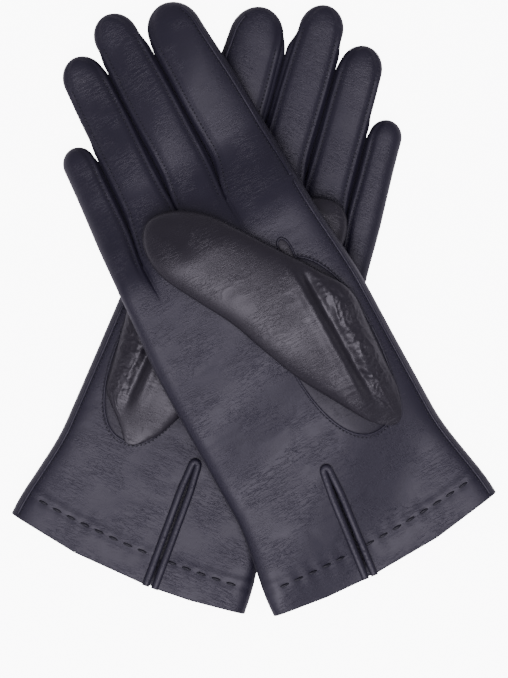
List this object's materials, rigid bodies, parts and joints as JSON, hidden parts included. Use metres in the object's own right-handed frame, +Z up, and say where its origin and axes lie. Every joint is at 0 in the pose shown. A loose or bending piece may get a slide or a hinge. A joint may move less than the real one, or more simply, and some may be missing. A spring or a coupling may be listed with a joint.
{
  "type": "pair of leather gloves",
  "caption": "Pair of unworn leather dress gloves laid crossed, palms up, with slit hemmed cuffs, folded-over thumbs and flexing fingers.",
  "frame": {"origin": "middle of the pair's outline, on the surface that the lower glove lies on", "axes": "+Y towards the fingertips of the crossed pair, +Z up out of the palms"},
  "size_m": [0.1972, 0.2498, 0.0408],
  "materials": {
    "navy_leather": "smooth navy nappa with a soft sheen",
    "silk_lining": "fine woven silk",
    "thread": "twisted navy thread",
    "thumb_leather": "darker, glossier nappa"
  },
  "bodies": {
    "left_glove": {"left_palm_and_back": "navy_leather", "left_turned_hem": "navy_leather", "left_lining": "silk_lining", "left_slit_binding": "navy_leather", "left_hem_stitch_little_side": "thread", "left_hem_stitch_thumb_side": "thread", "left_side_seam": "thread", "left_thumb_root": "thumb_leather"},
    "left_little_finger": {"left_little_fourchette_thumb_side": "navy_leather", "left_little_finger": "navy_leather"},
    "left_ring_finger": {"left_ring_fourchette_little_side": "navy_leather", "left_ring_fourchette_thumb_side": "navy_leather", "left_ring_finger": "navy_leather"},
    "left_middle_finger": {"left_middle_fourchette_little_side": "navy_leather", "left_middle_fourchette_thumb_side": "navy_leather", "left_middle_finger": "navy_leather"},
    "left_index_finger": {"left_index_fourchette_little_side": "navy_leather", "left_index_finger": "navy_leather"},
    "left_thumb": {"left_thumb": "thumb_leather"},
    "right_glove": {"right_palm_and_back": "navy_leather", "right_turned_hem": "navy_leather", "right_lining": "silk_lining", "right_slit_binding": "navy_leather", "right_hem_stitch_little_side": "thread", "right_hem_stitch_thumb_side": "thread", "right_side_seam": "thread", "right_thumb_root": "thumb_leather"},
    "right_little_finger": {"right_little_fourchette_thumb_side": "navy_leather", "right_little_finger": "navy_leather"},
    "right_ring_finger": {"right_ring_fourchette_little_side": "navy_leather", "right_ring_fourchette_thumb_side": "navy_leather", "right_ring_finger": "navy_leather"},
    "right_middle_finger": {"right_middle_fourchette_little_side": "navy_leather", "right_middle_fourchette_thumb_side": "navy_leather", "right_middle_finger": "navy_leather"},
    "right_index_finger": {"right_index_fourchette_little_side": "navy_leather", "right_index_finger": "navy_leather"},
    "right_thumb": {"right_thumb": "thumb_leather"}
  },
  "joints": [
    {"name": "right_glove_lift", "type": "slide", "parent": "left_glove", "child": "right_glove", "axis": [0, 0, 1], "range_m": [0, 0.15]},
    {"name": "left_index_flex", "type": "hinge", "parent": "left_glove", "child": "left_index_finger", "pos_m": [-0.00086, 0.10534, 0.00475], "axis": [0.9563, -0.2924, 0], "range_deg": [0, 90]},
    {"name": "left_middle_flex", "type": "hinge", "parent": "left_glove", "child": "left_middle_finger", "pos_m": [0.01763, 0.08105, 0.00475], "axis": [0.9598, -0.2807, 0], "range_deg": [0, 90]},
    {"name": "left_ring_flex", "type": "hinge", "parent": "left_glove", "child": "left_ring_finger", "pos_m": [0.03278, 0.06033, 0.00475], "axis": [0.9632, -0.2689, 0], "range_deg": [0, 90]},
    {"name": "left_little_flex", "type": "hinge", "parent": "left_glove", "child": "left_little_finger", "pos_m": [0.04495, 0.03767, 0.00475], "axis": [0.9686, -0.2487, 0], "range_deg": [0, 90]},
    {"name": "left_thumb_swing", "type": "hinge", "parent": "left_glove", "child": "left_thumb", "pos_m": [-0.04873, -0.01411, 0.0159], "axis": [-0.3971, -0.9178, 0], "range_deg": [0, 50]},
    {"name": "right_index_flex", "type": "hinge", "parent": "right_glove", "child": "right_index_finger", "pos_m": [-0.006, 0.0689, 0.0157], "axis": [0.8625, 0.506, 0], "range_deg": [0, 90]},
    {"name": "right_middle_flex", "type": "hinge", "parent": "right_glove", "child": "right_middle_finger", "pos_m": [-0.02958, 0.06155, 0.01535], "axis": [0.8821, 0.471, 0], "range_deg": [0, 90]},
    {"name": "right_ring_flex", "type": "hinge", "parent": "right_glove", "child": "right_ring_finger", "pos_m": [-0.04555, 0.04696, 0.01551], "axis": [0.8949, 0.4462, 0], "range_deg": [0, 90]},
    {"name": "right_little_flex", "type": "hinge", "parent": "right_glove", "child": "right_little_finger", "pos_m": [-0.05575, 0.02641, 0.01888], "axis": [0.9078, 0.4195, 0], "range_deg": [0, 90]},
    {"name": "right_thumb_swing", "type": "hinge", "parent": "right_glove", "child": "right_thumb", "pos_m": [0.04214, -0.01074, 0.03039], "axis": [-0.4651, 0.839, 0.2826], "range_deg": [0, 120]}
  ],
  "couplings": [
    {"joint": "left_thumb_swing", "follows": "right_glove_lift", "rad_per_m": 5.6}
  ]
}
